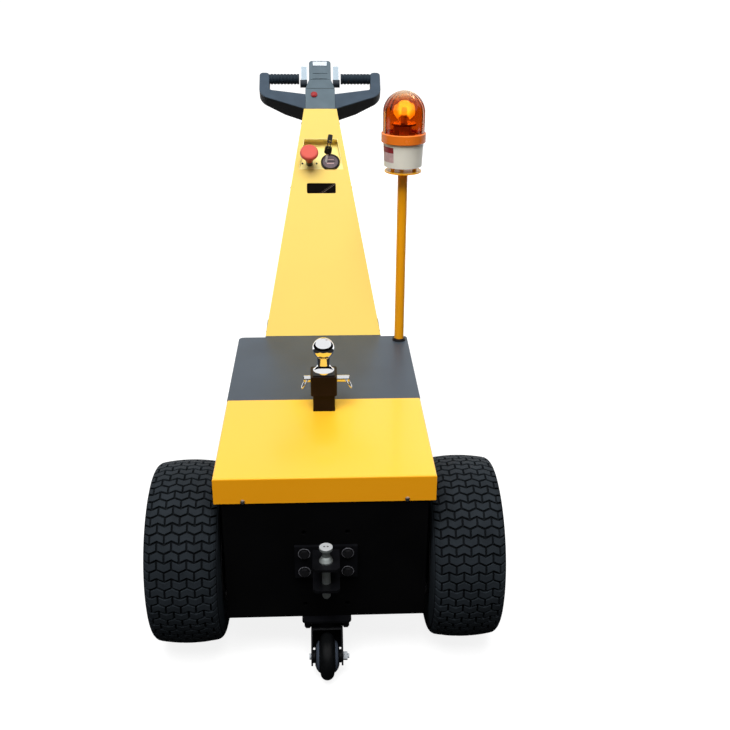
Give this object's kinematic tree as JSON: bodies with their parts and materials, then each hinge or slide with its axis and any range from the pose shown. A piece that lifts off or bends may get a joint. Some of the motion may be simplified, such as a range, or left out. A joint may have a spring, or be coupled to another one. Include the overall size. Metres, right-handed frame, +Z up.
{
  "type": "walk-behind electric tugger",
  "caption": "Walk-behind electric tugger with pneumatic drive wheels, swivel castors, ball hitch, drop-pin coupling, control column with a two-handed head and a beacon on a pole.",
  "frame": {"origin": "centre of the machine's footprint box, on the floor", "axes": "+Z up, -Y towards the couplings, +Y towards the handle, +X to the beacon's side"},
  "size_m": [0.764, 1.2934, 1.141],
  "materials": {
    "yellow_paint": "glossy yellow powder coat",
    "black_paint": "satin black powder coat",
    "steel_black": "black, slightly rough",
    "zinc": "bright zinc plate",
    "chrome": "polished chrome",
    "steel": "bare machined steel",
    "tyre_rubber": "matt black rubber",
    "castor_rubber": "black rubber on a grey core",
    "head_plastic": "moulded dark grey plastic",
    "pod_plastic": "moulded dark grey plastic",
    "grip_rubber": "ribbed black rubber",
    "paddle_plastic": "pale grey plastic",
    "red_plastic": "red plastic",
    "gauge_plastic": "black plastic with a dark dial",
    "window": "smoked glossy window",
    "beacon_white": "off-white moulded plastic",
    "beacon_orange": "orange plastic",
    "amber": "clear amber plastic",
    "reflector": "bright reflector",
    "dark_plastic": "black plastic",
    "battery": "plain block"
  },
  "bodies": {
    "chassis": {"chassis_tub": "black_paint", "front_panel": "black_paint", "front_cover": "yellow_paint", "rear_lid": "black_paint", "cover_screws": "steel", "drive_axle": "steel_black", "battery_pack": "battery", "hitch_post": "steel_black", "hitch_sleeve": "steel_black", "ball_shank": "steel_black", "tow_ball": "chrome", "cross_pin": "zinc", "pin_rings": "zinc", "coupling_bracket": "steel_black", "coupling_bolts": "steel_black", "drop_pin": "zinc", "front_castor_plate": "steel_black", "rear_castor_plate": "steel_black", "column_shell": "yellow_paint", "display_window": "window", "column_foot": "black_paint", "control_tray": "yellow_paint", "stop_button": "red_plastic", "key_gauge": "gauge_plastic", "ignition_key": "steel", "head_housing": "head_plastic", "control_pod": "pod_plastic", "arm_right": "head_plastic", "arm_left": "head_plastic", "grip_right": "grip_rubber", "grip_left": "grip_rubber", "throttle_right": "paddle_plastic", "throttle_left": "paddle_plastic", "horn_button": "red_plastic", "beacon_pole": "yellow_paint", "pole_collar": "dark_plastic", "beacon_plate": "yellow_paint", "beacon_base": "beacon_white", "beacon_ring": "beacon_orange", "beacon_dome": "amber", "beacon_motor": "dark_plastic"},
    "wheel_right": {"tyre_right": "tyre_rubber", "rim_right": "steel_black"},
    "wheel_left": {"tyre_left": "tyre_rubber", "rim_left": "steel_black"},
    "front_castor_swivel": {"front_castor_fork": "steel_black"},
    "front_castor_roller": {"front_castor_wheel": "castor_rubber"},
    "rear_castor_swivel": {"rear_castor_fork": "steel_black"},
    "rear_castor_roller": {"rear_castor_wheel": "castor_rubber"},
    "beacon_rotor": {"beacon_reflector": "reflector"}
  },
  "joints": [
    {"name": "right_wheel_spin", "type": "hinge", "parent": "chassis", "child": "wheel_right", "pos_m": [0.302, -0.40973, 0.203], "axis": [1, 0, 0], "continuous": true},
    {"name": "left_wheel_spin", "type": "hinge", "parent": "chassis", "child": "wheel_left", "pos_m": [-0.302, -0.40973, 0.203], "axis": [1, 0, 0], "continuous": true},
    {"name": "front_castor_turn", "type": "hinge", "parent": "chassis", "child": "front_castor_swivel", "pos_m": [0, -0.54173, 0.1], "axis": [0, 0, 1], "continuous": true},
    {"name": "front_castor_roll", "type": "hinge", "parent": "front_castor_swivel", "child": "front_castor_roller", "pos_m": [0, -0.59673, 0.05], "axis": [1, 0, 0], "continuous": true},
    {"name": "rear_castor_turn", "type": "hinge", "parent": "chassis", "child": "rear_castor_swivel", "pos_m": [0, 0.08127, 0.1], "axis": [0, 0, 1], "continuous": true},
    {"name": "rear_castor_roll", "type": "hinge", "parent": "rear_castor_swivel", "child": "rear_castor_roller", "pos_m": [0, 0.02627, 0.05], "axis": [1, 0, 0], "continuous": true},
    {"name": "beacon_turn", "type": "hinge", "parent": "chassis", "child": "beacon_rotor", "pos_m": [0.204, 0.14457, 1.051], "axis": [0, 0, 1], "continuous": true}
  ]
}
